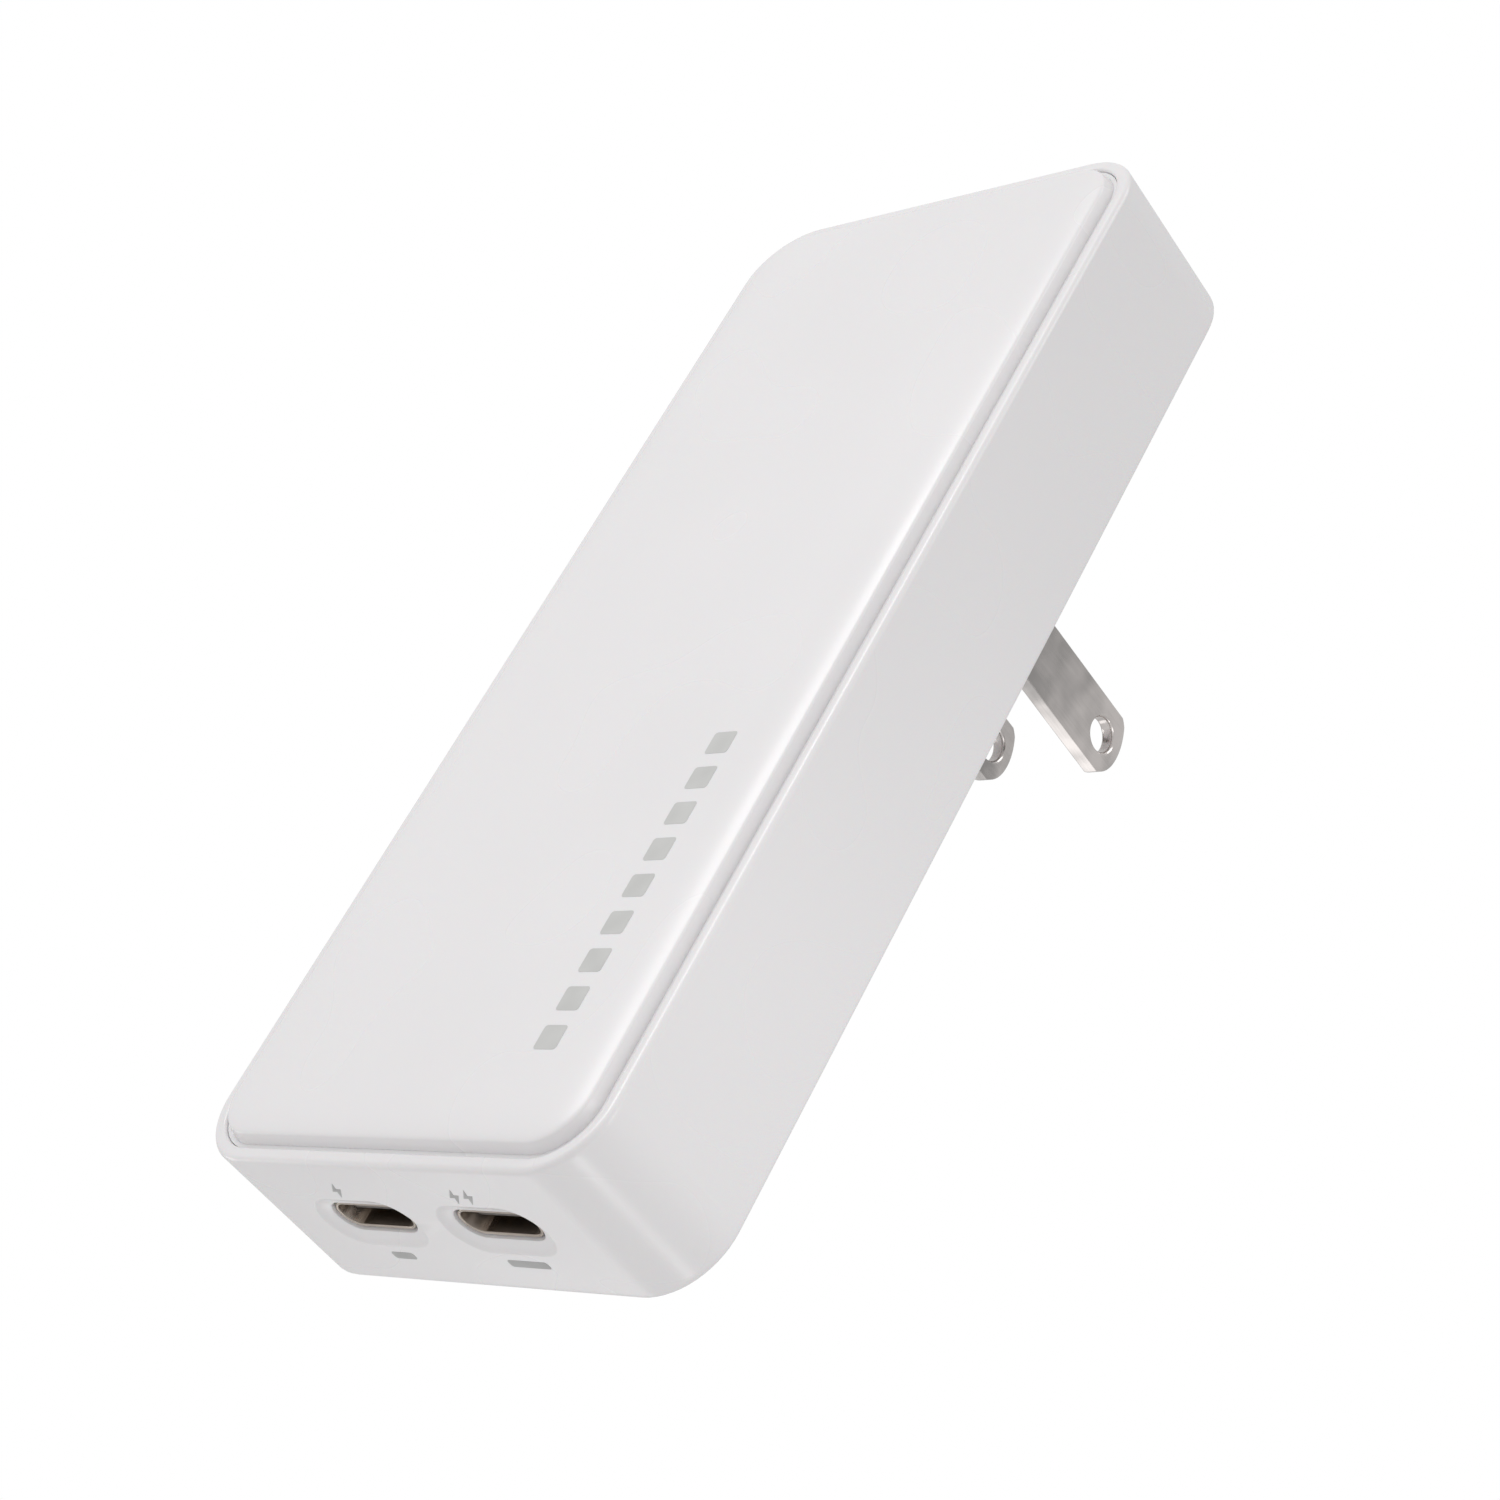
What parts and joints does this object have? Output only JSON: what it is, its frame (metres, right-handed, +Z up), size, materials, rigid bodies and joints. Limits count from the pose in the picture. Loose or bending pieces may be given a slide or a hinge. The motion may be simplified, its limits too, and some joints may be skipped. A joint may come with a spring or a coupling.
{
  "type": "usb wall charger",
  "caption": "Slim rectangular two-port USB-C wall charger with rounded corners, a crowned front cover and a folding pair of flat mains blades on its back.",
  "frame": {"origin": "on the back face, midway between the two blades at the height of their middle", "axes": "+Z up the long axis away from the ports, +Y out of the back face along the blades, +X to the right seen from the front cover"},
  "size_m": [0.047, 0.0359, 0.113],
  "materials": {
    "case_plastic": "satin white moulding",
    "cover_plastic": "satin white moulding",
    "black_nylon": "glass-filled nylon",
    "screw_steel": "zinc plated",
    "spring_steel": "cold rolled",
    "contact_bronze": "bare bronze",
    "circuit_board": "solder mask over laminate",
    "port_steel": "drawn, nickel plated",
    "port_moulding": "moulded",
    "can_sleeve": "shrink sleeve",
    "film_capacitor_box": "potted box",
    "fuse_body": "moulded",
    "chip_epoxy": "moulded epoxy",
    "disc_coating": "dipped coating",
    "choke_ferrite": "coated ferrite",
    "enamelled_copper": "enamelled wire",
    "ferrite": "sintered",
    "winding_tape": "polyester tape",
    "optocoupler_body": "moulded",
    "pressed_iron": "pressed powder",
    "bare_can": "drawn",
    "silicone_pad": "soft silicone",
    "spreader_aluminium": "mill finish",
    "insulating_film": "thin film",
    "blade_plating": "nickel plated, brushed"
  },
  "bodies": {
    "case": {"base_shell": "case_plastic", "front_cover": "cover_plastic", "carrier_retainer": "black_nylon", "retainer_screw_1": "screw_steel", "retainer_screw_2": "screw_steel", "retainer_screw_3": "screw_steel", "retainer_screw_4": "screw_steel", "detent_spring": "spring_steel", "contact_spring_left": "contact_bronze", "contact_spring_right": "contact_bronze", "main_board": "circuit_board", "board_screw_1": "screw_steel", "board_screw_2": "screw_steel", "usb_c_shell_left": "port_steel", "usb_c_shell_right": "port_steel", "usb_c_tongue_left": "port_moulding", "usb_c_tongue_right": "port_moulding", "bulk_capacitor_1": "can_sleeve", "bulk_capacitor_2": "can_sleeve", "bulk_capacitor_3": "can_sleeve", "x_capacitor": "film_capacitor_box", "fuse": "fuse_body", "bridge_rectifier": "chip_epoxy", "y_capacitor": "disc_coating", "choke_core": "choke_ferrite", "choke_coil_left": "enamelled_copper", "choke_coil_right": "enamelled_copper", "transformer_core_lower": "ferrite", "transformer_core_upper": "ferrite", "transformer_winding": "winding_tape", "power_switch_chip": "chip_epoxy", "rectifier_chip": "chip_epoxy", "optocoupler": "optocoupler_body", "control_chip": "chip_epoxy", "output_inductor_1": "pressed_iron", "output_inductor_2": "pressed_iron", "output_capacitor_1": "bare_can", "output_capacitor_2": "bare_can", "output_capacitor_3": "bare_can", "thermal_pad": "silicone_pad", "heat_spreader": "spreader_aluminium", "insulating_sheet": "insulating_film"},
    "blades": {"blade_carrier": "black_nylon", "blade_left": "blade_plating", "blade_right": "blade_plating"}
  },
  "joints": [
    {"name": "blade_fold", "type": "hinge", "parent": "case", "child": "blades", "pos_m": [0, -0.0044, 0], "axis": [-1, 0, 0], "range_deg": [0, 90]}
  ]
}
